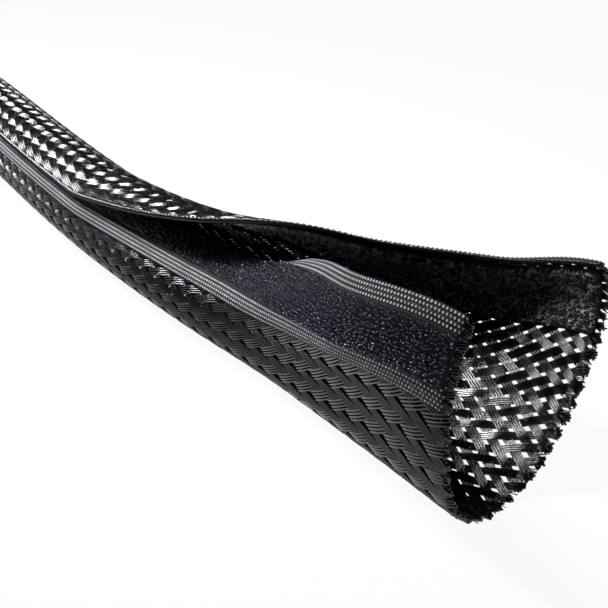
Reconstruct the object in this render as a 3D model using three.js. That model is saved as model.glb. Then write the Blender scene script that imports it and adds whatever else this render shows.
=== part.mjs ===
// Split braided sleeve: a side-opening cable sleeve, woven flat from black monofilament strands
// and curled into a tube. A hook tape is sewn on the outside of the near flap and a loop tape on
// the inside of the far flap. The back is closed, and the cut front end is splayed open.
// Millimetres. +X points out of the open end, +Y to the far side and +Z up. The origin is where
// the sleeve rests on a table, just behind the open end.

import * as THREE from 'three';

// Length and closed tube
const SLEEVE_LENGTH = 245;
const CLOSED_FROM = 130;
const NEAR_CLOSED_FROM = 70;
const NEAR_RADIUS = 9.6;
const REST_POINT = 12;

// Width of the braid between the tapes, on each side of the line that it rests on
const NEAR_WALL = { open: 40.6, closed: 19.5 };
const FAR_WALL = { open: 40.6, closed: 30.4 };

// Tapes
const TAPE_WIDTH = 16;
const TAPE_BASE = 0.4;
const PILE_HEIGHT = 0.5;
const SELVEDGE = 3.6;
const PILE_SLOPE = 0.5;
const LOOP_TAPE_INSET = 1.2;

// Braid: half its thickness where strands cross, between them and at the turned edges
const CROSSING_HALF = 0.5;
const VALLEY_HALF = 0.12;
const TURNED_EDGE_HALF = 0.65;

// Strand rows and columns, about 2.4 times as coarse as the real weave
const ROWS = 34;
const FLAP_COLUMNS = 6;
const WALL_COLUMNS = 22;

// Open gaps between the spread strands on the far wall
const GAP_REACH = 46;
const GAP_FROM_REST = 4;
const GAP_SHARE = { front: 0.56, back: 0.3 };
const CUT_ZIGZAG = 1.1;

// Clearances
const SEWN_CLEARANCE = 0.3;
const LAP_CLEARANCE = 0.3;
const PRESSED_DEPTH = 0.5;

// Tangent angles of the cross-section in degrees, 0 where it rests and positive up the far side,
// at these distances behind the open end: at the near flap's free edge, the near tape's lower
// edge, half-way down the near wall, half-way up the far wall, the far tape's lower edge and the
// far flap's free edge. The closed tube's angles follow from its radii.
const SHAPE_STATIONS = [0, 25, 50, 85];
const SHAPE_ANGLES = {
  nearEdge: [-116, -129, -170, -230],
  nearTape: [-91, -73, -89, -135],
  nearWall: [-70, -82, -85, -68],
  farWall: [58, 18, 8, 55],
  farTape: [77, 85, 98, 135],
  farEdge: [130, 133, 142, 184],
};

// Sideways bend of the whole sleeve: degrees at 100 mm, 100 mm squared and 100 mm cubed
const BEND = [-9, 16.4, -4.9];

// Colours from the photograph
const BRAID_COLOUR = 0x1b1b1d;
const HOOK_TAPE_COLOUR = 0x25232b;
const LOOP_TAPE_COLOUR = 0x0d0b10;

// What follows from the sizes
const RADIAN = Math.PI / 180;
const TAPE_UNDERSIDE = CROSSING_HALF + SEWN_CLEARANCE;
const PILE_TOP = TAPE_UNDERSIDE + TAPE_BASE + PILE_HEIGHT;
const LAP_SPACING = 2 * PILE_TOP + LAP_CLEARANCE;
const FAR_EDGE_TURN = 225 * RADIAN;
const FAR_RADIUS = NEAR_RADIUS + LAP_SPACING / (1 - Math.cos(FAR_EDGE_TURN));
const COLUMNS = WALL_COLUMNS + 2 * FLAP_COLUMNS;
const ROW_PITCH = SLEEVE_LENGTH / ROWS;

// A curve through values at stations that never overshoots them
function smoothThrough(stations, values) {
  const last = stations.length - 1;
  const slopes = [];
  for (let k = 0; k < last; k += 1) {
    slopes.push((values[k + 1] - values[k]) / (stations[k + 1] - stations[k]));
  }
  const tangents = stations.map((_, k) => {
    const before = slopes[Math.max(k - 1, 0)];
    const after = slopes[Math.min(k, last - 1)];
    return before * after > 0 ? (2 * before * after) / (before + after) : 0;
  });
  return (distance) => {
    const at = THREE.MathUtils.clamp(distance, stations[0], stations[last]);
    let k = 0;
    while (k < last - 1 && at > stations[k + 1]) k += 1;
    const span = stations[k + 1] - stations[k];
    const t = (at - stations[k]) / span;
    const rise = values[k + 1] - values[k];
    const bulge = (1 - t) * tangents[k] * span - t * tangents[k + 1] * span - (1 - 2 * t) * rise;
    return values[k] + t * rise + t * (1 - t) * bulge;
  };
}

// Widths of the two walls at a distance behind the open end
function wallWidths(distance) {
  const nearShare = THREE.MathUtils.smoothstep(distance, 0, NEAR_CLOSED_FROM);
  const farShare = THREE.MathUtils.smoothstep(distance, 0, CLOSED_FROM);
  return {
    near: THREE.MathUtils.lerp(NEAR_WALL.open, NEAR_WALL.closed, nearShare),
    far: THREE.MathUtils.lerp(FAR_WALL.open, FAR_WALL.closed, farShare),
  };
}

// Tangent angle curves, with the closed tube's angle as the last value of each
const closedAngles = {
  nearEdge: -(NEAR_WALL.closed + TAPE_WIDTH) / NEAR_RADIUS,
  nearTape: -NEAR_WALL.closed / NEAR_RADIUS,
  nearWall: -NEAR_WALL.closed / NEAR_RADIUS / 2,
  farWall: FAR_WALL.closed / FAR_RADIUS / 2,
  farTape: FAR_WALL.closed / FAR_RADIUS,
  farEdge: (FAR_WALL.closed + TAPE_WIDTH) / FAR_RADIUS,
};
const angleCurves = {};
for (const [name, degrees] of Object.entries(SHAPE_ANGLES)) {
  const angles = [...degrees.map((value) => value * RADIAN), closedAngles[name]];
  angleCurves[name] = smoothThrough([...SHAPE_STATIONS, CLOSED_FROM], angles);
}

// Point, tangent angle and arc after a length along the cross-section. Each stretch is an arc.
function walkArcs(knots, length) {
  let y = 0;
  let z = 0;
  let angle = 0;
  let start = 0;
  for (const knot of knots) {
    const stretch = knot.at - start;
    const outermost = knot === knots[knots.length - 1];
    const reached = !outermost && Math.abs(length) > Math.abs(knot.at) ? knot.at : length;
    const curvature = (knot.angle - angle) / stretch;
    const travelled = reached - start;
    const next = angle + curvature * travelled;
    if (Math.abs(curvature) < 1e-9) {
      y += travelled * Math.cos(angle);
      z += travelled * Math.sin(angle);
    } else {
      y += (Math.sin(next) - Math.sin(angle)) / curvature;
      z -= (Math.cos(next) - Math.cos(angle)) / curvature;
    }
    angle = next;
    start = knot.at;
    if (reached === length) break;
  }
  return { y, z, angle };
}

// Point of the cross-section: across is 0 where it rests, positive up the far wall
function sectionPoint(distance, across) {
  const width = wallWidths(distance);
  const angle = (name) => angleCurves[name](distance);
  const knots = across < 0
    ? [
      { at: -width.near / 2, angle: angle('nearWall') },
      { at: -width.near, angle: angle('nearTape') },
      { at: -width.near - TAPE_WIDTH, angle: angle('nearEdge') },
    ]
    : [
      { at: width.far / 2, angle: angle('farWall') },
      { at: width.far, angle: angle('farTape') },
      { at: width.far + TAPE_WIDTH, angle: angle('farEdge') },
    ];
  return walkArcs(knots, across);
}

// The line that the sleeve rests on, bending sideways in the horizontal plane
function spinePoint(distance) {
  const heading = (at) => {
    const t = at / 100;
    return (BEND[0] * t + BEND[1] * t * t + BEND[2] * t * t * t) * RADIAN;
  };
  const steps = 32;
  let x = REST_POINT;
  let y = 0;
  for (let k = 0; k < steps; k += 1) {
    const middle = (distance * (k + 0.5)) / steps;
    x -= (Math.cos(heading(middle)) * distance) / steps;
    y += (Math.sin(heading(middle)) * distance) / steps;
  }
  return { x, y, heading: heading(distance) };
}

// Place a point of the sheet: height is its distance from the middle of the braid, outwards
function place(distance, across, height) {
  const section = sectionPoint(distance, across);
  const spine = spinePoint(distance);
  const side = section.y + height * Math.sin(section.angle);
  const up = section.z - height * Math.cos(section.angle) + CROSSING_HALF;
  return new THREE.Vector3(
    spine.x + side * Math.sin(spine.heading),
    spine.y + side * Math.cos(spine.heading),
    up < PRESSED_DEPTH ? 0 : up,
  );
}

// Where a braid column lies across the sheet: flaps keep their width, the wall spreads
function columnAcross(column, distance) {
  const width = wallWidths(distance);
  if (column < FLAP_COLUMNS) {
    return -width.near - TAPE_WIDTH * (1 - column / FLAP_COLUMNS);
  }
  const wallColumn = column - FLAP_COLUMNS;
  if (wallColumn > WALL_COLUMNS) {
    return width.far + (TAPE_WIDTH * (wallColumn - WALL_COLUMNS)) / FLAP_COLUMNS;
  }
  return -width.near + ((width.near + width.far) * wallColumn) / WALL_COLUMNS;
}

// A closed shell between two faces of the same sheet. Each face is a list of triangles of vertex
// names, counter-clockwise from outside, and wherever they end the two are joined by a rim.
function shellGeometry(outerTriangles, innerTriangles, locate) {
  const positions = [];
  const index = [];
  const numbers = new Map();
  const numberOf = (name, side) => {
    const key = `${side} ${name}`;
    if (!numbers.has(key)) {
      numbers.set(key, positions.length / 3);
      positions.push(...locate(name, side).toArray());
    }
    return numbers.get(key);
  };
  const directed = new Set();
  for (const [a, b, c] of outerTriangles) {
    index.push(numberOf(a, 'outer'), numberOf(b, 'outer'), numberOf(c, 'outer'));
    directed.add(`${a}|${b}`).add(`${b}|${c}`).add(`${c}|${a}`);
  }
  for (const [a, b, c] of innerTriangles) {
    index.push(numberOf(c, 'inner'), numberOf(b, 'inner'), numberOf(a, 'inner'));
  }
  for (const edge of directed) {
    const [a, b] = edge.split('|');
    if (directed.has(`${b}|${a}`)) continue;
    index.push(numberOf(b, 'outer'), numberOf(a, 'outer'), numberOf(a, 'inner'));
    index.push(numberOf(b, 'outer'), numberOf(a, 'inner'), numberOf(b, 'inner'));
  }
  const geometry = new THREE.BufferGeometry();
  geometry.setAttribute('position', new THREE.Float32BufferAttribute(positions, 3));
  geometry.setIndex(index);
  geometry.computeVertexNormals();
  return geometry;
}

// Whether the space between strands at this row and column stands open
function isGap(row, column) {
  const distance = row * ROW_PITCH;
  const across = columnAcross(column, distance);
  const onFarWall = across > GAP_FROM_REST && column < COLUMNS - FLAP_COLUMNS;
  return row > 0 && distance < GAP_REACH && onFarWall;
}

// Whether a tape covers this face of the sheet around a column
function isCovered(column, side) {
  return side === 'outer' ? column < FLAP_COLUMNS : column > COLUMNS - FLAP_COLUMNS;
}

// The four corners of the space at a row and column: crossings, counter-clockwise from outside
const CORNERS = [[1, 0], [0, 1], [-1, 0], [0, -1]];

// Triangles of one face of the braid. Vertices are named by row and column, halves lie between
// two crossings along a strand, and a gap's own corners carry its direction as well.
function braidFace(side) {
  const triangles = [];
  const inside = (row, column) => row >= 0 && row <= ROWS && column >= 0 && column <= COLUMNS;
  for (let row = 0; row <= ROWS; row += 1) {
    for (let column = (row + 1) % 2; column <= COLUMNS; column += 2) {
      for (let k = 0; k < 4; k += 1) {
        const from = [row + CORNERS[k][0], column + CORNERS[k][1]];
        const to = [row + CORNERS[(k + 1) % 4][0], column + CORNERS[(k + 1) % 4][1]];
        if (!inside(...from) || !inside(...to)) continue;
        const middle = [(from[0] + to[0]) / 2, (from[1] + to[1]) / 2];
        const neighbour = from[1] === column ? to[1] : from[1];
        const plain = isCovered(column, side) && isCovered(neighbour, side);
        const outline = plain ? [from, to] : [from, middle, to];
        const names = outline.map((point) => point.join(' '));
        if (isGap(row, column)) {
          const gapFrom = `${row} ${column} gap ${k}`;
          const gapTo = `${row} ${column} gap ${(k + 1) % 4}`;
          triangles.push([names[0], names[1], gapFrom], [names[1], gapTo, gapFrom]);
          if (!plain) triangles.push([names[1], names[2], gapTo]);
        } else {
          const centre = `${row} ${column}`;
          for (let n = 1; n < names.length; n += 1) triangles.push([names[n - 1], names[n], centre]);
        }
      }
    }
  }
  return triangles;
}

// Half thickness of the braid. In a two-over, two-under weave the strands that rise to the far
// side lie outside in two columns of every four, so a float spans two crossings.
function braidHalf(row, column, side) {
  const atTurnedEdge = column === COLUMNS;
  const betweenRows = row % 1 !== 0;
  if (!betweenRows) {
    const crossing = (row + column) % 2 === 0;
    if (atTurnedEdge) return crossing ? TURNED_EDGE_HALF : CROSSING_HALF;
    return crossing ? CROSSING_HALF : VALLEY_HALF;
  }
  const firstColumn = Math.floor(column);
  const risesToFarSide = (Math.floor(row) + firstColumn) % 2 === 0;
  const outsideFloat = risesToFarSide ? firstColumn % 4 === 0 : firstColumn % 4 === 2;
  const insideFloat = risesToFarSide ? firstColumn % 4 === 2 : firstColumn % 4 === 0;
  const raised = side === 'outer' ? outsideFloat : insideFloat;
  return raised ? CROSSING_HALF : VALLEY_HALF;
}

function locateBraid(name, side) {
  const [row, column, , corner] = name.split(' ').map(Number);
  let half = braidHalf(row, column, side);
  let distance = row * ROW_PITCH;
  let atColumn = column;
  if (row === 0) distance += column % 2 === 0 ? -CUT_ZIGZAG : CUT_ZIGZAG;
  if (corner !== undefined) {
    const share = THREE.MathUtils.mapLinear(distance, 0, GAP_REACH, GAP_SHARE.front, GAP_SHARE.back);
    distance += CORNERS[corner][0] * share * ROW_PITCH;
    atColumn += CORNERS[corner][1] * share;
    half = VALLEY_HALF;
  }
  const across = columnAcross(atColumn, Math.max(distance, 0));
  return place(distance, across, side === 'outer' ? half : -half);
}

// A tape is a woven band with bare selvedges and a raised pile between them, in this many strips
const TAPE_STRIPS = 7;

// Where a tape's column lies across it, and how high the face stands there
function tapeColumn(column) {
  if (column === 0) return { at: 0, top: TAPE_BASE };
  if (column === TAPE_STRIPS) return { at: TAPE_WIDTH, top: TAPE_BASE };
  if (column === 1) return { at: SELVEDGE, top: TAPE_BASE };
  if (column === TAPE_STRIPS - 1) return { at: TAPE_WIDTH - SELVEDGE, top: TAPE_BASE };
  const pileStart = SELVEDGE + PILE_SLOPE;
  const pileWidth = TAPE_WIDTH - 2 * pileStart;
  const share = (column - 2) / (TAPE_STRIPS - 4);
  return { at: pileStart + pileWidth * share, top: TAPE_BASE + PILE_HEIGHT };
}

// The tape lies off the braid by the sewn clearance, outside the near flap or inside the far one
function tapeGeometry(onNearFlap) {
  const triangles = [];
  for (let station = 0; station < ROWS; station += 1) {
    for (let column = 0; column < TAPE_STRIPS; column += 1) {
      const corner = (s, c) => `${station + s} ${column + c}`;
      triangles.push([corner(0, 0), corner(1, 0), corner(1, 1)]);
      triangles.push([corner(0, 0), corner(1, 1), corner(0, 1)]);
    }
  }
  const locate = (name, side) => {
    const [station, column] = name.split(' ').map(Number);
    const distance = station * ROW_PITCH;
    const { at, top } = tapeColumn(column);
    const width = wallWidths(distance);
    const start = onNearFlap ? -width.near - TAPE_WIDTH : width.far - LOOP_TAPE_INSET;
    const onFace = (side === 'outer') === onNearFlap;
    const height = TAPE_UNDERSIDE + (onFace ? top : 0);
    return place(distance, start + at, onNearFlap ? height : -height);
  };
  return shellGeometry(triangles, triangles, locate);
}

function addMesh(group, name, geometry, colour, roughness) {
  const material = new THREE.MeshStandardMaterial({ color: colour, roughness, metalness: 0 });
  const mesh = new THREE.Mesh(geometry, material);
  mesh.name = name;
  group.add(mesh);
}

const sleeve = new THREE.Group();
sleeve.name = 'split_braided_sleeve';
const braid = shellGeometry(braidFace('outer'), braidFace('inner'), locateBraid);
addMesh(sleeve, 'braided_wall', braid, BRAID_COLOUR, 0.35);
addMesh(sleeve, 'hook_tape', tapeGeometry(true), HOOK_TAPE_COLOUR, 0.8);
addMesh(sleeve, 'loop_tape', tapeGeometry(false), LOOP_TAPE_COLOUR, 0.95);

export default sleeve;
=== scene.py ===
"""Split braided sleeve: a side-opening cable sleeve of black monofilament, closed by two sewn tapes."""
import bpy
import numpy as np
from mathutils import Matrix, Vector


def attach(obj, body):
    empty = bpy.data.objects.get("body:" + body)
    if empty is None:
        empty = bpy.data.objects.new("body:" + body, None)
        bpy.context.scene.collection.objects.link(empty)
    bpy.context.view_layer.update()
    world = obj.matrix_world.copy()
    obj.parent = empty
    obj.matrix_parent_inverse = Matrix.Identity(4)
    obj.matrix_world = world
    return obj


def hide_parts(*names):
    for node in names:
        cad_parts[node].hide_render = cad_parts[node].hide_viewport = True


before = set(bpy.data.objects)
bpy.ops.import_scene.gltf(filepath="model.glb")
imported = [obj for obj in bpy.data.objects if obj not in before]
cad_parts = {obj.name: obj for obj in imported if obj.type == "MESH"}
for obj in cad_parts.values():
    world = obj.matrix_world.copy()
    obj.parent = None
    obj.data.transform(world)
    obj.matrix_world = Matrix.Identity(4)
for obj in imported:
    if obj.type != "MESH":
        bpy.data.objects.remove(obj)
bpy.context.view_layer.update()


# The sleeve's form
# The flat-woven sleeve curls into a tube. At the back the far flap laps over the near one, and at
# the cut front end both flaps stand open. Each cross-section is a chain of arcs that starts where
# the sleeve rests on the table, the same as in the solid model.
MM = 0.001
SLEEVE_LENGTH = 245 * MM
CLOSED_FROM = 130 * MM
NEAR_CLOSED_FROM = 70 * MM
REST_POINT = 12 * MM
NEAR_WALL_OPEN, NEAR_WALL_CLOSED = 40.6 * MM, 19.5 * MM
FAR_WALL_OPEN, FAR_WALL_CLOSED = 40.6 * MM, 30.4 * MM
TAPE_WIDTH = 16 * MM
CROSSING_HALF = 0.5 * MM
NEAR_RADIUS = 9.6 * MM
LAP_SPACING = 3.7 * MM
FAR_EDGE_TURN = np.radians(225)
FAR_RADIUS = NEAR_RADIUS + LAP_SPACING / (1 - np.cos(FAR_EDGE_TURN))
BEND = (-9, 16.4, -4.9)
BEND_UNIT = 100 * MM
SHAPE_STATIONS = np.array([0, 25, 50, 85, 130]) * MM
SHAPE_ANGLES = {
    "near_edge": [-116, -129, -170, -230],
    "near_tape": [-91, -73, -89, -135],
    "near_wall": [-70, -82, -85, -68],
    "far_wall": [58, 18, 8, 55],
    "far_tape": [77, 85, 98, 135],
    "far_edge": [130, 133, 142, 184],
}
CLOSED_ANGLES = {
    "near_edge": -(NEAR_WALL_CLOSED + TAPE_WIDTH) / NEAR_RADIUS,
    "near_tape": -NEAR_WALL_CLOSED / NEAR_RADIUS,
    "near_wall": -NEAR_WALL_CLOSED / NEAR_RADIUS / 2,
    "far_wall": FAR_WALL_CLOSED / FAR_RADIUS / 2,
    "far_tape": FAR_WALL_CLOSED / FAR_RADIUS,
    "far_edge": (FAR_WALL_CLOSED + TAPE_WIDTH) / FAR_RADIUS,
}


def smooth_through(stations, values, at):
    """A curve through values at stations that never overshoots them."""
    slopes = np.diff(values) / np.diff(stations)
    before = np.concatenate([slopes[:1], slopes])
    after = np.concatenate([slopes, slopes[-1:]])
    product = before * after
    total = np.where(product > 0, before + after, 1)
    tangents = np.where(product > 0, 2 * product / total, 0)
    at = np.clip(at, stations[0], stations[-1])
    k = np.clip(np.searchsorted(stations, at) - 1, 0, len(stations) - 2)
    span = stations[k + 1] - stations[k]
    t = (at - stations[k]) / span
    rise = values[k + 1] - values[k]
    bulge = (1 - t) * tangents[k] * span - t * tangents[k + 1] * span - (1 - 2 * t) * rise
    return values[k] + t * rise + t * (1 - t) * bulge


def smoothstep(low, high, at):
    t = np.clip((at - low) / (high - low), 0, 1)
    return t * t * (3 - 2 * t)


def wall_widths(distance):
    near_share = smoothstep(0, NEAR_CLOSED_FROM, distance)
    far_share = smoothstep(0, CLOSED_FROM, distance)
    near = NEAR_WALL_OPEN + (NEAR_WALL_CLOSED - NEAR_WALL_OPEN) * near_share
    far = FAR_WALL_OPEN + (FAR_WALL_CLOSED - FAR_WALL_OPEN) * far_share
    return near, far


def section_angle(name, distance):
    values = np.array([*np.radians(SHAPE_ANGLES[name]), CLOSED_ANGLES[name]])
    return smooth_through(SHAPE_STATIONS, values, distance)


def walk_arcs(knots, length):
    """Point and tangent angle after a length along three arcs, each knot an end and its angle."""
    y = np.zeros_like(length)
    z = np.zeros_like(length)
    angle = np.zeros_like(length)
    start, start_angle = np.zeros_like(length), np.zeros_like(length)
    straightest = 1e-6
    for number, (end, end_angle) in enumerate(knots):
        share = (length - start) / (end - start)
        share = np.clip(share, 0, 1 if number < 2 else None)
        travelled = share * (end - start)
        curvature = (end_angle - start_angle) / (end - start)
        curvature = np.where(np.abs(curvature) < straightest, straightest, curvature)
        following = angle + curvature * travelled
        y += (np.sin(following) - np.sin(angle)) / curvature
        z -= (np.cos(following) - np.cos(angle)) / curvature
        angle = following
        start, start_angle = end, end_angle
    return y, z, angle


def spine(distance):
    """The line that the sleeve rests on, and its heading: BEND is in degrees for each BEND_UNIT."""
    t = np.linspace(-0.05, 2.6, 531)
    headings = np.radians(BEND[0] * t + BEND[1] * t**2 + BEND[2] * t**3)
    step = BEND_UNIT * (t[1] - t[0])
    x = np.concatenate([[0], np.cumsum(np.cos((headings[1:] + headings[:-1]) / 2) * step)])
    y = np.concatenate([[0], np.cumsum(np.sin((headings[1:] + headings[:-1]) / 2) * step)])
    x = np.interp(distance, t * BEND_UNIT, x - np.interp(0, t, x))
    y = np.interp(distance, t * BEND_UNIT, y - np.interp(0, t, y))
    return REST_POINT - x, y, np.interp(distance, t * BEND_UNIT, headings)


def place(distance, across, height):
    """Points of the sheet: across is 0 where it rests and grows up the far side, height outwards."""
    distance, across, height = np.broadcast_arrays(distance, across, height)
    near, far = wall_widths(distance)
    near_knots = [
        (-near / 2, section_angle("near_wall", distance)),
        (-near, section_angle("near_tape", distance)),
        (-near - TAPE_WIDTH, section_angle("near_edge", distance)),
    ]
    far_knots = [
        (far / 2, section_angle("far_wall", distance)),
        (far, section_angle("far_tape", distance)),
        (far + TAPE_WIDTH, section_angle("far_edge", distance)),
    ]
    on_near = walk_arcs(near_knots, np.minimum(across, 0))
    on_far = walk_arcs(far_knots, np.maximum(across, 0))
    y, z, angle = (np.where(across < 0, a, b) for a, b in zip(on_near, on_far))
    x0, y0, heading = spine(distance)
    side = y + height * np.sin(angle)
    up = z - height * np.cos(angle) + CROSSING_HALF
    return np.stack([x0 + side * np.sin(heading), y0 + side * np.cos(heading), up], -1)


# Camera
# It looks down into the open end from the near side, as the photograph does. Its place comes from
# a fit to points picked on the photograph.
CAMERA_AZIMUTH = np.radians(46.44)
CAMERA_ELEVATION = np.radians(30.40)
CAMERA_ROLL = np.radians(1.64)
CAMERA_DISTANCE = 180.84 * MM
CAMERA_TARGET = Vector((-24.22, -15.65, 33.47)) * MM
FRAME_PIXELS = 608
FOCAL_PIXELS = 999.0
SENSOR_WIDTH = 36.0
NEAREST_SEEN = 10 * MM

scene = bpy.context.scene
right = Vector((np.cos(CAMERA_AZIMUTH), np.sin(CAMERA_AZIMUTH), 0))
level = Vector((-np.sin(CAMERA_AZIMUTH), np.cos(CAMERA_AZIMUTH), 0))
forward = level * np.cos(CAMERA_ELEVATION) - Vector((0, 0, np.sin(CAMERA_ELEVATION)))
up = right.cross(forward)
rolled_right = right * np.cos(CAMERA_ROLL) + up * np.sin(CAMERA_ROLL)
rolled_up = up * np.cos(CAMERA_ROLL) - right * np.sin(CAMERA_ROLL)
camera_data = bpy.data.cameras.new("camera")
camera_data.sensor_width = SENSOR_WIDTH
camera_data.lens = FOCAL_PIXELS / FRAME_PIXELS * SENSOR_WIDTH
camera_data.clip_start = NEAREST_SEEN
camera = bpy.data.objects.new("camera", camera_data)
turn = Matrix((rolled_right, rolled_up, -forward)).transposed().to_4x4()
camera.matrix_world = Matrix.Translation(CAMERA_TARGET - forward * CAMERA_DISTANCE) @ turn
scene.collection.objects.link(camera)
scene.camera = camera


# Braid
# About eighty flat strands of four black polyester monofilaments each, woven two over and two
# under. They turn back at both long edges, so no thread is loose there, and end in a zigzag at
# the cut.

# Crossings are counted in columns, from the near free edge to the far one, and in rows from the
# cut. The turns, the scatter and the overhang of the cut are parts of a column or of a row.
ROWS = 85
FLAP_COLUMNS = 15
WALL_COLUMNS = 50
COLUMNS = WALL_COLUMNS + 2 * FLAP_COLUMNS
ROW_PITCH = SLEEVE_LENGTH / ROWS
FILAMENTS = 4
CLOSE_SHARE = 0.97
OPEN_SHARE = 0.68
OPEN_REACH = 55 * MM
WIDEST_SPACING = 0.68 * MM
WEAVE_HEIGHT = 0.27 * MM
RISING_CRIMP = 0.3
FILAMENT_SIDES = 4
STEPS_PER_ROW = 2
CUT_OVERHANG = 0.4
NEAR_TURN, FAR_TURN = 1.3, 0.4
STRAND_GROUPS = 3
CUT_SCATTER = 0.12
TURN_SOFTNESS = 0.8
FLOAT_REPEAT = 4
FLOAT_FLATNESS = 2.2
GAPS_FROM, GAPS_FULL = 0.42, 0.55
OUTWARD_STEP = 0.1 * MM
STREAKS_ALONG_SLEEVE = 900.0
MONOFILAMENT_BLACK = "#0a0a0b"

random = np.random.default_rng(7)


def linear(hex_colour):
    """An sRGB hex colour as linear values."""
    values = [int(hex_colour[k:k + 2], 16) / 255 for k in (1, 3, 5)]
    return [v / 12.92 if v <= 0.04045 else ((v + 0.055) / 1.055) ** 2.4 for v in values] + [1.0]


def add_node(material, kind, settings=None, links=None):
    """Add a shader node with its settings, and link its inputs from other nodes' outputs."""
    tree = material.node_tree
    node = tree.nodes.new(kind)
    for name, value in (settings or {}).items():
        if isinstance(name, int) or name in node.inputs:
            node.inputs[name].default_value = value
        else:
            setattr(node, name, value)
    for name, output in (links or {}).items():
        tree.links.new(output, node.inputs[name])
    return node


def new_material(name):
    material = bpy.data.materials.new(name)
    material.use_nodes = True
    material.node_tree.nodes.clear()
    return material


def finish_material(material, shader):
    add_node(material, "ShaderNodeOutputMaterial", links={"Surface": shader.outputs[0]})
    return material


def mesh_piece(name, points, faces, material):
    mesh = bpy.data.meshes.new(name)
    mesh.from_pydata(np.asarray(points).reshape(-1, 3).tolist(), [], faces)
    mesh.materials.append(material)
    mesh.shade_smooth()
    piece = bpy.data.objects.new(name, mesh)
    scene.collection.objects.link(piece)
    return piece


def round_threads(centres, normals, radius, sides):
    """Closed tubes along rows of points, as the points and faces of one mesh."""
    threads, steps = centres.shape[:2]
    tangents = np.gradient(centres, axis=1)
    tangents /= np.linalg.norm(tangents, axis=2, keepdims=True)
    binormals = np.cross(tangents, normals)
    binormals /= np.linalg.norm(binormals, axis=2, keepdims=True)
    normals = np.cross(binormals, tangents)
    turns = 2 * np.pi * np.arange(sides) / sides
    radius = np.broadcast_to(radius, (threads, steps))[:, :, None, None]
    ring = np.cos(turns)[:, None] * normals[:, :, None] + np.sin(turns)[:, None] * binormals[:, :, None]
    points = centres[:, :, None] + radius * ring
    number = np.arange(threads * steps * sides).reshape(threads, steps, sides)
    following = np.roll(number, -1, axis=2)
    quads = np.stack([number[:, :-1], following[:, :-1], following[:, 1:], number[:, 1:]], -1)
    faces = quads.reshape(-1, 4).tolist()
    faces += number[:, 0, ::-1].tolist() + number[:, -1].tolist()
    return points, faces


def column_across(column, distance):
    """Where a braid column lies: the flaps keep their width and the walls spread."""
    near, far = wall_widths(distance)
    near_flap = -near - TAPE_WIDTH * (1 - column / FLAP_COLUMNS)
    wall_column = column - FLAP_COLUMNS
    far_flap = far + TAPE_WIDTH * (wall_column - WALL_COLUMNS) / FLAP_COLUMNS
    wall = -near + (near + far) * wall_column / WALL_COLUMNS
    return np.where(wall_column < 0, near_flap, np.where(wall_column > WALL_COLUMNS, far_flap, wall))


def filament_spacing(column, distance):
    """Strands lie edge to edge, and only on the far wall near the cut do they leave gaps."""
    column_width = column_across(column + 0.5, distance) - column_across(column - 0.5, distance)
    room = 2 * column_width * ROW_PITCH / np.hypot(column_width, ROW_PITCH)
    far_wall = smoothstep(GAPS_FROM, GAPS_FULL, (column - FLAP_COLUMNS) / WALL_COLUMNS)
    gaps = far_wall * (1 - smoothstep(0, OPEN_REACH, distance))
    share = CLOSE_SHARE + (OPEN_SHARE - CLOSE_SHARE) * gaps
    return np.minimum(room * share / FILAMENTS, WIDEST_SPACING)


def strand_lines(strands):
    """Centre lines, outward normals and radii of the filaments of some strands."""
    ends = random.uniform(-CUT_SCATTER, CUT_SCATTER, (len(strands), FILAMENTS))
    rows = np.arange(0, ROWS * STEPS_PER_ROW + 1) / STEPS_PER_ROW
    rows = np.concatenate([[-CUT_OVERHANG], rows])
    rows = np.broadcast_to(rows, (len(strands), FILAMENTS, len(rows))).copy()
    rows[:, :, 0] += ends
    travel = np.mod(rows + 2 * strands[:, None, None], 2 * COLUMNS)
    to_turn = np.minimum(travel, 2 * COLUMNS - travel)
    rising = np.where(travel < COLUMNS, 1.0, -1.0)
    softened = np.where(to_turn < COLUMNS / 2, to_turn, COLUMNS - to_turn)
    direction = rising * np.tanh(softened / TURN_SOFTNESS)
    column = np.clip(COLUMNS - np.abs(COLUMNS - travel), NEAR_TURN, COLUMNS - FAR_TURN)
    distance = rows * ROW_PITCH
    across = column_across(column, distance)
    wave = np.cos(2 * np.pi * (column - 0.5) / FLOAT_REPEAT)
    height = WEAVE_HEIGHT * direction * np.tanh(FLOAT_FLATNESS * (wave - RISING_CRIMP))
    pitch_across = np.gradient(across, axis=2) / np.gradient(rows, axis=2)
    length = np.hypot(pitch_across, ROW_PITCH)
    spacing = filament_spacing(column, distance)
    offset = (np.arange(FILAMENTS) - (FILAMENTS - 1) / 2)[None, :, None] * spacing
    distance = distance - offset * pitch_across / length
    across = across + offset * ROW_PITCH / length
    centres = place(distance, across, height)
    outer = place(distance, across, height + OUTWARD_STEP)
    normals = (outer - centres) / np.linalg.norm(outer - centres, axis=-1, keepdims=True)
    steps = centres.shape[2]
    return centres.reshape(-1, steps, 3), normals.reshape(-1, steps, 3), spacing.reshape(-1, steps) / 2


# Extruded polyester is smooth and glossy. Faint draw marks, about 0.27 mm apart along the sleeve,
# break up its glints.
monofilament = new_material("black_polyester_monofilament")
streaks = add_node(monofilament, "ShaderNodeTexNoise", {"Scale": STREAKS_ALONG_SLEEVE, "Detail": 2.0})
gloss = add_node(monofilament, "ShaderNodeMapRange", {"To Min": 0.1, "To Max": 0.26},
                 {"Value": streaks.outputs["Fac"]})
monofilament_shader = add_node(monofilament, "ShaderNodeBsdfPrincipled",
                               {"Base Color": linear(MONOFILAMENT_BLACK), "IOR": 1.57},
                               {"Roughness": gloss.outputs["Result"]})
finish_material(monofilament, monofilament_shader)

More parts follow.
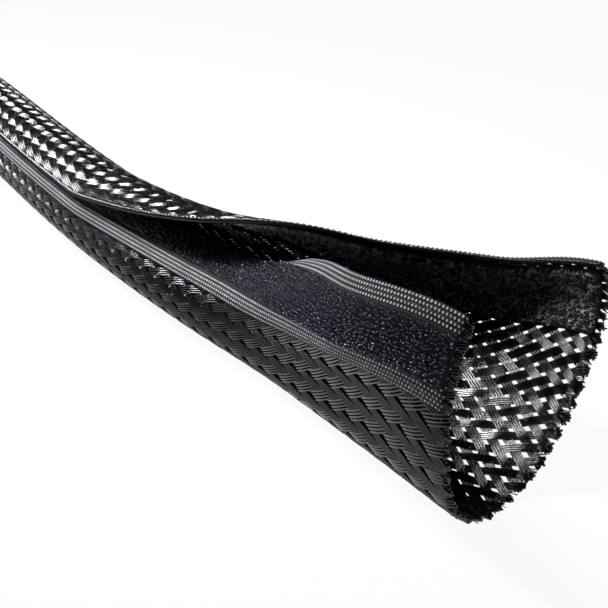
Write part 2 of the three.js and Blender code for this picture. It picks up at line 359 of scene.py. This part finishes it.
for group in range(STRAND_GROUPS):
    strands = np.arange(group, COLUMNS, STRAND_GROUPS)
    centres, normals, radius = strand_lines(strands)
    points, faces = round_threads(centres, normals, radius, FILAMENT_SIDES)
    braid = mesh_piece(f"braid_strands_{group + 1}", points, faces, monofilament)
    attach(braid, "root")
    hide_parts("braided_wall")


# Turned edge
# Along the far flap's free edge the strands turn back round each other, which makes a hard cord
# that stands a little above the loop tape.
TURNED_FILAMENTS = 5
TURNED_RADIUS = 0.42 * MM
TURNED_FILAMENT_RADIUS = 0.3 * MM
TURNED_PITCH = 5.2 * MM
STEPS_PER_TURN = 12
TURNED_OVERHANG = 0.6 * MM
TURNED_STAND_OFF = 0.2 * MM

steps = int(SLEEVE_LENGTH / TURNED_PITCH * STEPS_PER_TURN)
distance = np.linspace(-TURNED_OVERHANG, SLEEVE_LENGTH, steps)[None, :]
turns = 2 * np.pi * (distance / TURNED_PITCH + np.arange(TURNED_FILAMENTS)[:, None] / TURNED_FILAMENTS)
core_line = wall_widths(distance)[1] + TAPE_WIDTH + TURNED_STAND_OFF
centres = place(distance, core_line + TURNED_RADIUS * np.cos(turns), TURNED_RADIUS * np.sin(turns))
core = place(distance, core_line, 0)
points, faces = round_threads(centres, centres - core, TURNED_FILAMENT_RADIUS, FILAMENT_SIDES)
turned_edge = mesh_piece("turned_edge", points, faces, monofilament)
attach(turned_edge, "root")


# Tape ground
# Both tapes are woven polyester bands, with bare selvedges along both sides. They are sewn flat
# to the braid, the hook tape outside the near flap and the loop tape inside the far one.
TAPE_BASE = 0.4 * MM
TAPE_SUNK = 0.03 * MM
TAPE_UNDERSIDE = CROSSING_HALF - TAPE_SUNK
TAPE_STEPS, TAPE_STRIPS = 281, 25
EDGE_ROUNDING = 0.3 * MM
THINNEST_EDGE = 0.1
SELVEDGE = 3.6 * MM
LOOP_TAPE_INSET = 1.2 * MM
HOOK_TAPE_OVERHANG = 0.5 * MM
PICK_PITCH = 0.8 * MM
PICK_RELIEF = 0.15 * MM
# The pale colour of each tape is a painted highlight on the crowns of its picks; the dark one is the
# tape's own black.
HOOK_TAPE_DARK, HOOK_TAPE_PAINTED_HIGHLIGHT = "#08070b", "#e4e0ec"
LOOP_TAPE_DARK, LOOP_TAPE_PAINTED_HIGHLIGHT = "#19171b", "#343138"
PILE_GROUND = "#111016"


def tape_points(on_near_flap, distance, at, height):
    """Points of a tape: at is measured across it from its lower edge, height from its underside."""
    near, far = wall_widths(distance)
    if on_near_flap:
        overhang = HOOK_TAPE_OVERHANG * at / TAPE_WIDTH
        return place(distance, -near - at - overhang, TAPE_UNDERSIDE + height)
    return place(distance, far - LOOP_TAPE_INSET + at, -TAPE_UNDERSIDE - height)


def tape_ground(name, on_near_flap, material, node):
    steps, strips = TAPE_STEPS, TAPE_STRIPS
    distance = np.linspace(0, SLEEVE_LENGTH, steps)[:, None]
    at = np.linspace(0, TAPE_WIDTH, strips)[None, :]
    rounding = np.minimum(at, TAPE_WIDTH - at)
    inward = 1 - np.clip(rounding / EDGE_ROUNDING, 0, 1)
    edge = np.sqrt(np.clip(1 - inward ** 2, THINNEST_EDGE, 1))
    top = tape_points(on_near_flap, distance, at, TAPE_BASE * (0.5 + 0.5 * edge))
    bottom = tape_points(on_near_flap, distance, at, TAPE_BASE * (0.5 - 0.5 * edge))
    points = np.concatenate([top.reshape(-1, 3), bottom.reshape(-1, 3)])
    number = np.arange(2 * steps * strips).reshape(2, steps, strips)
    quads = [number[:, :-1, :-1], number[:, 1:, :-1], number[:, 1:, 1:], number[:, :-1, 1:]]
    quads = np.stack(quads, -1)
    up_faces = quads[0].reshape(-1, 4)
    down_faces = quads[1].reshape(-1, 4)[:, ::-1]
    top_number = number[0]
    rim = np.concatenate([top_number[:, 0], top_number[-1, 1:], top_number[-2::-1, -1],
                          top_number[0, -2:0:-1]])
    under = rim + steps * strips
    sides = np.stack([rim, under, np.roll(under, -1), np.roll(rim, -1)], -1)
    faces = np.concatenate([up_faces, down_faces, sides])
    if on_near_flap:
        faces = faces[:, ::-1]
    piece = mesh_piece(name, points, faces.tolist(), material)
    piece.data.materials.append(pile_ground)
    strip = np.arange((steps - 1) * (strips - 1)) % (strips - 1)
    middle = (strip + 0.5) / (strips - 1) * TAPE_WIDTH
    under_pile = (middle > SELVEDGE) & (middle < TAPE_WIDTH - SELVEDGE)
    index = np.zeros(len(faces), np.int32)
    index[:len(strip)] = under_pile
    piece.data.polygons.foreach_set("material_index", index)
    weave = piece.data.uv_layers.new(name="weave")
    flat = np.stack(np.broadcast_arrays(distance, at), -1).reshape(-1, 2)
    flat = np.concatenate([flat, flat]) / PICK_PITCH
    corners = np.empty(len(piece.data.loops), int)
    piece.data.loops.foreach_get("vertex_index", corners)
    weave.data.foreach_set("uv", flat[corners].astype(np.float32).ravel())
    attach(piece, "root")
    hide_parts(node)


def woven_tape(name, dark, light, roughness):
    """Woven polyester is matt black. Each pick that shows between two warp ends gets a pale dot, a
    painted highlight on its crown. The real picks lie closer together, and are drawn this coarse to show."""
    material = new_material(name)
    place_on_tape = add_node(material, "ShaderNodeUVMap", {"uv_map": "weave"})
    parts = add_node(material, "ShaderNodeSeparateXYZ", links={"Vector": place_on_tape.outputs["UV"]})
    lifted = add_node(material, "ShaderNodeMath", {"operation": "FLOOR"}, {0: parts.outputs["Y"]})
    shift = add_node(material, "ShaderNodeMath", {"operation": "MULTIPLY", 1: 0.5}, {0: lifted.outputs[0]})
    pick = add_node(material, "ShaderNodeMath", {"operation": "ADD"},
                    {0: parts.outputs["X"], 1: shift.outputs[0]})
    waves = []
    for position in (pick.outputs[0], parts.outputs["Y"]):
        angle = add_node(material, "ShaderNodeMath", {"operation": "MULTIPLY", 1: np.pi}, {0: position})
        wave = add_node(material, "ShaderNodeMath", {"operation": "SINE"}, {0: angle.outputs[0]})
        waves.append(add_node(material, "ShaderNodeMath", {"operation": "ABSOLUTE"}, {0: wave.outputs[0]}))
    dots = add_node(material, "ShaderNodeMath", {"operation": "MULTIPLY"},
                    {0: waves[0].outputs[0], 1: waves[1].outputs[0]})
    # The sharpened dots carry the painted highlight colour; the plain dots give the real relief.
    painted_highlight_share = add_node(material, "ShaderNodeMath", {"operation": "POWER", 1: 4.0}, {0: dots.outputs[0]})
    colour = add_node(material, "ShaderNodeMix", {"data_type": "RGBA", 6: linear(dark), 7: linear(light)},
                      {0: painted_highlight_share.outputs[0]})
    relief = add_node(material, "ShaderNodeBump", {"Strength": 1.0, "Distance": PICK_RELIEF},
                      {"Height": dots.outputs[0]})
    shader = add_node(material, "ShaderNodeBsdfPrincipled",
                      {"Roughness": roughness, "Specular IOR Level": 0.15},
                      {"Base Color": colour.outputs[2], "Normal": relief.outputs[0]})
    return finish_material(material, shader)


# The knitted ground under a pile is matt black, so only the hooks and curls catch the light.
pile_ground = new_material("matt_black_pile_ground")
pile_shader = add_node(pile_ground, "ShaderNodeBsdfPrincipled",
                       {"Base Color": linear(PILE_GROUND), "Roughness": 0.9})
finish_material(pile_ground, pile_shader)
hook_ground = woven_tape("woven_polyester_hook_tape", HOOK_TAPE_DARK, HOOK_TAPE_PAINTED_HIGHLIGHT, 0.55)
loop_ground = woven_tape("woven_polyester_loop_tape", LOOP_TAPE_DARK, LOOP_TAPE_PAINTED_HIGHLIGHT, 0.9)
tape_ground("hook_tape_ground", True, hook_ground, "hook_tape")
tape_ground("loop_tape_ground", False, loop_ground, "loop_tape")


# Hooks
# Stiff nylon monofilament loops, cut at one side so that each is a hook. They stand in rows
# between the selvedges and glint where they bend.
HOOK_HEIGHT = 1.0 * MM
HOOK_REACH = 0.55 * MM
HOOK_RADIUS = 0.12 * MM
HOOK_SIDES = 4
HOOK_ROW = 0.68 * MM
HOOK_STEP = 0.82 * MM
HOOK_MARGIN_LOW, HOOK_MARGIN_HIGH, HOOK_MARGIN_END = 0.4 * MM, 0.2 * MM, 0.5 * MM
HOOK_WANDER_ACROSS, HOOK_WANDER_ALONG = 0.2 * MM, 0.25 * MM
HOOK_TWIST = 0.7
HOOK_SMALLEST, HOOK_LARGEST = 0.8, 1.1
HOOK_RISE = np.array([0, 0.6, 0.97, 0.92, 0.66])
HOOK_LEAN = np.array([0, 0.05, 0.35, 0.85, 1.0])
HOOK_BLACK = "#2a2744"

# Extruded nylon, set by heat and cut: smooth, blue-black, with a small sharp glint on each bend.
hook_nylon = new_material("black_nylon_hooks")
hook_shader = add_node(hook_nylon, "ShaderNodeBsdfPrincipled",
                       {"Base Color": linear(HOOK_BLACK), "Roughness": 0.14, "IOR": 1.53,
                        "Specular IOR Level": 1.0})
finish_material(hook_nylon, hook_shader)


def hook_lines():
    """Centre lines of the hooks, and a direction to the side of each."""
    rows = np.arange(SELVEDGE + HOOK_MARGIN_LOW, TAPE_WIDTH - SELVEDGE - HOOK_MARGIN_HIGH, HOOK_ROW)
    steps = np.arange(HOOK_MARGIN_END, SLEEVE_LENGTH - HOOK_MARGIN_END, HOOK_STEP)
    row, step = np.meshgrid(np.arange(len(rows)), np.arange(len(steps)))
    row, step = row.ravel(), step.ravel()
    count = len(row)
    at = rows[row] + random.uniform(-HOOK_WANDER_ACROSS, HOOK_WANDER_ACROSS, count)
    distance = steps[step] + (row % 2) * HOOK_STEP / 2
    distance = distance + random.uniform(-HOOK_WANDER_ALONG, HOOK_WANDER_ALONG, count)
    heading = random.uniform(-HOOK_TWIST, HOOK_TWIST, count)
    heading = heading + np.where(random.random(count) < 0.5, 0, np.pi)
    size = random.uniform(HOOK_SMALLEST, HOOK_LARGEST, count)
    height = TAPE_BASE + size[:, None] * HOOK_HEIGHT * HOOK_RISE
    reach = size[:, None] * HOOK_REACH * HOOK_LEAN
    line_distance = np.clip(distance[:, None] + reach * np.cos(heading)[:, None], 0, SLEEVE_LENGTH)
    line_at = at[:, None] + reach * np.sin(heading)[:, None]
    centres = tape_points(True, line_distance, line_at, height)
    beside = tape_points(True, line_distance - OUTWARD_STEP * np.sin(heading)[:, None],
                         line_at + OUTWARD_STEP * np.cos(heading)[:, None], height)
    return centres, beside - centres


centres, normals = hook_lines()
points, faces = round_threads(centres, normals, HOOK_RADIUS, HOOK_SIDES)
hooks = mesh_piece("hook_pile", points, faces, hook_nylon)
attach(hooks, "root")


# Loops
# A pile of fine nylon loops, knitted into the loop tape and brushed into a matt nap. Only single
# curls catch the light.
LOOP_HEIGHT = 0.75 * MM
LOOP_RADIUS = 0.05 * MM
LOOP_SIDES = 3
LOOPS_PER_SQUARE_MM = 1.5
PILE_WIDTH = TAPE_WIDTH - 1 * MM
LOOP_MARGIN = 0.6 * MM
LOOP_SHORTEST, LOOP_LONGEST = 0.5 * MM, 1.3 * MM
LOOP_BOW = 0.5 * MM
LOOP_LOWEST = 0.4
LOOP_POINTS = 5
LOOP_PAINTED_SHEEN = "#c4c0cb"

# The loops are black nylon drawn pale grey: a painted sheen, so that single curls show against the ground.
loop_nylon = new_material("black_nylon_loops_painted_sheen")
loop_shader = add_node(loop_nylon, "ShaderNodeBsdfPrincipled",
                       {"Base Color": linear(LOOP_PAINTED_SHEEN), "Roughness": 0.35, "IOR": 1.53})
finish_material(loop_nylon, loop_shader)


def loop_lines():
    """Centre lines of the loops, and a direction to the side of each."""
    count = int(LOOPS_PER_SQUARE_MM * PILE_WIDTH * SLEEVE_LENGTH / MM**2)
    distance = random.uniform(LOOP_MARGIN, SLEEVE_LENGTH - LOOP_MARGIN, count)
    at = random.uniform(LOOP_MARGIN, TAPE_WIDTH - LOOP_MARGIN, count)
    heading = random.uniform(0, 2 * np.pi, count)
    reach = random.uniform(LOOP_SHORTEST, LOOP_LONGEST, count)
    bow = random.uniform(-LOOP_BOW, LOOP_BOW, count)
    size = random.uniform(LOOP_LOWEST, 1.0, count)
    t = np.linspace(0, 1, LOOP_POINTS)
    along = (t - 0.5) * reach[:, None]
    aside = np.sin(np.pi * t) * bow[:, None]
    height = TAPE_BASE + LOOP_HEIGHT * size[:, None] * np.sin(np.pi * t)
    cosine, sine = np.cos(heading)[:, None], np.sin(heading)[:, None]
    line_distance = np.clip(distance[:, None] + along * cosine - aside * sine, 0, SLEEVE_LENGTH)
    line_at = at[:, None] + along * sine + aside * cosine
    centres = tape_points(False, line_distance, line_at, height)
    beside = tape_points(False, line_distance - OUTWARD_STEP * sine, line_at + OUTWARD_STEP * cosine,
                         height)
    return centres, beside - centres


centres, normals = loop_lines()
points, faces = round_threads(centres, normals, LOOP_RADIUS, LOOP_SIDES)
loops = mesh_piece("loop_pile", points, faces, loop_nylon)
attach(loops, "root")


# Sewing thread
# Four rows of black polyester lockstitch hold the tapes to the braid, two along each tape. Each
# stitch lies on the selvedge and dips through it at both ends.
STITCH_LENGTH = 2.6 * MM
THREAD_RADIUS = 0.13 * MM
THREAD_SIDES = 6
STITCH_INSET = 1.7 * MM
STITCH_MARGIN = 0.5 * MM
STEPS_PER_STITCH = 8
STITCH_ARCH, STITCH_DIP = 2.2, 1.6
THREAD_BLACK = "#121114"

# Spun polyester thread is black and half matt, so it shows little on the selvedge.
sewing_thread = new_material("black_polyester_sewing_thread")
thread_shader = add_node(sewing_thread, "ShaderNodeBsdfPrincipled",
                         {"Base Color": linear(THREAD_BLACK), "Roughness": 0.5})
finish_material(sewing_thread, thread_shader)
for name, on_near_flap, fabric in (("hook_tape_stitches", True, "hook_tape_fabric"),
                                   ("loop_tape_stitches", False, "loop_tape_fabric")):
    step = STITCH_LENGTH / STEPS_PER_STITCH
    distance = np.arange(STITCH_MARGIN, SLEEVE_LENGTH - STITCH_MARGIN, step)
    distance, at = np.meshgrid(distance, [STITCH_INSET, TAPE_WIDTH - STITCH_INSET])
    arch = np.abs(np.sin(np.pi * distance / STITCH_LENGTH)) ** 0.5
    height = TAPE_BASE + THREAD_RADIUS * (STITCH_ARCH * arch - STITCH_DIP)
    centres = tape_points(on_near_flap, distance, at, height)
    above = tape_points(on_near_flap, distance, at, height + OUTWARD_STEP)
    points, faces = round_threads(centres, above - centres, THREAD_RADIUS, THREAD_SIDES)
    stitches = mesh_piece(name, points, faces, sewing_thread)
    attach(stitches, "root")


# Frayed ends
# The hot cut leaves short loose ends of single filaments along the open end, greyed where they
# melted and stretched. They grow out of the strands and lean every way.
FRAYED_COUNT = 420
FRAYED_RADIUS = 0.1 * MM
FRAYED_ROOT = 1.5 * MM
FRAYED_SHORTEST, FRAYED_LONGEST = 0.2 * MM, 1.3 * MM
FRAYED_DRIFT, FRAYED_LIFT = 1.1 * MM, 0.7 * MM
FRAYED_WALL_SHARE = 0.98
FRAYED_POINTS = 4
FRAYED_GREY = "#3a3a3c"

# Melted polyester is grey and duller than the drawn filament.
frayed_material = new_material("melted_grey_filament_ends")
frayed_shader = add_node(frayed_material, "ShaderNodeBsdfPrincipled",
                         {"Base Color": linear(FRAYED_GREY), "Roughness": 0.4})
finish_material(frayed_material, frayed_shader)
widest = FRAYED_WALL_SHARE * NEAR_WALL_OPEN
across = random.uniform(-widest, widest, (FRAYED_COUNT, 1))
drift = random.uniform(-FRAYED_DRIFT, FRAYED_DRIFT, (FRAYED_COUNT, 1))
reach = random.uniform(FRAYED_SHORTEST, FRAYED_LONGEST, (FRAYED_COUNT, 1))
lift = random.uniform(-FRAYED_LIFT, FRAYED_LIFT, (FRAYED_COUNT, 1))
t = np.linspace(0, 1, FRAYED_POINTS)[None, :]
distance = FRAYED_ROOT - (FRAYED_ROOT + reach) * t
centres = place(distance, across + drift * t**2, lift * t)
above = place(distance, across + drift * t**2, lift * t + OUTWARD_STEP)
points, faces = round_threads(centres, above - centres, FRAYED_RADIUS, FILAMENT_SIDES)
frayed = mesh_piece("frayed_ends", points, faces, frayed_material)
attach(frayed, "root")


# Table and studio
# A white table top that keeps a soft shadow, and three softboxes: a narrow one at the back for the
# glints on the closed tube, a low one in front and a broad one behind.
TABLE_HALF = 3.0
TABLE_WHITE = "#f2f2f2"
TABLE_GLOW = 0.94
ROOM_LIGHT = 0.03

table_mesh = bpy.data.meshes.new("table_top")
table_corners = [(x * TABLE_HALF, y * TABLE_HALF, 0) for x, y in ((-1, -1), (1, -1), (1, 1), (-1, 1))]
table_mesh.from_pydata(table_corners, [], [(0, 1, 2, 3)])
table_top = bpy.data.objects.new("table_top", table_mesh)
scene.collection.objects.link(table_top)
# White paper is plain white to the camera and in reflections, and keeps a little of its shadow.
white_paper = new_material("white_paper_table")
diffuse = add_node(white_paper, "ShaderNodeBsdfDiffuse", {"Color": linear(TABLE_WHITE)})
glow = add_node(white_paper, "ShaderNodeEmission", {"Color": (1, 1, 1, 1), "Strength": 1.0})
ray = add_node(white_paper, "ShaderNodeLightPath")
seen = add_node(white_paper, "ShaderNodeMath", {"operation": "MAXIMUM"},
                {0: ray.outputs["Is Camera Ray"], 1: ray.outputs["Is Glossy Ray"]})
share = add_node(white_paper, "ShaderNodeMath", {"operation": "MULTIPLY", 1: TABLE_GLOW},
                 {0: seen.outputs[0]})
mixed = add_node(white_paper, "ShaderNodeMixShader", links={"Fac": share.outputs[0]})
white_paper.node_tree.links.new(diffuse.outputs[0], mixed.inputs[1])
white_paper.node_tree.links.new(glow.outputs[0], mixed.inputs[2])
finish_material(white_paper, mixed)
table_mesh.materials.append(white_paper)

world = bpy.data.worlds.new("studio")
scene.world = world
world.use_nodes = True
world.node_tree.nodes.clear()
world_ray = add_node(world, "ShaderNodeLightPath")
dim = add_node(world, "ShaderNodeBackground", {"Color": (1, 1, 1, 1), "Strength": ROOM_LIGHT})
bright = add_node(world, "ShaderNodeBackground", {"Color": (1, 1, 1, 1), "Strength": 1.0})
world_mix = add_node(world, "ShaderNodeMixShader", links={"Fac": world_ray.outputs["Is Camera Ray"]})
world.node_tree.links.new(dim.outputs[0], world_mix.inputs[1])
world.node_tree.links.new(bright.outputs[0], world_mix.inputs[2])
add_node(world, "ShaderNodeOutputWorld", links={"Surface": world_mix.outputs[0]})

# Each lamp has its place, its target, its width and height, its watts and its spread in degrees.
LAMPS = {
    "back_softbox": ((-0.63, -0.13, 0.51), (-0.16, 0.01, 0.02), (0.24, 0.24), 0.62, 24),
    "front_softbox": ((-0.25, -0.85, 0.22), (-0.05, 0.0, 0.02), (0.30, 0.08), 0.36, 180),
    "rear_softbox": ((-0.50, 0.65, 0.50), (-0.05, 0.0, 0.03), (0.22, 0.22), 1.2, 180),
}
for name, (place_at, target, (width, height), power, spread) in LAMPS.items():
    lamp_data = bpy.data.lights.new(name, "AREA")
    lamp_data.shape = "RECTANGLE"
    lamp_data.size, lamp_data.size_y = width, height
    lamp_data.energy = power
    lamp_data.spread = np.radians(spread)
    lamp = bpy.data.objects.new(name, lamp_data)
    lamp.location = place_at
    lamp.rotation_euler = (Vector(target) - Vector(place_at)).to_track_quat("-Z", "Y").to_euler()
    scene.collection.objects.link(lamp)

scene.view_settings.view_transform = "Standard"
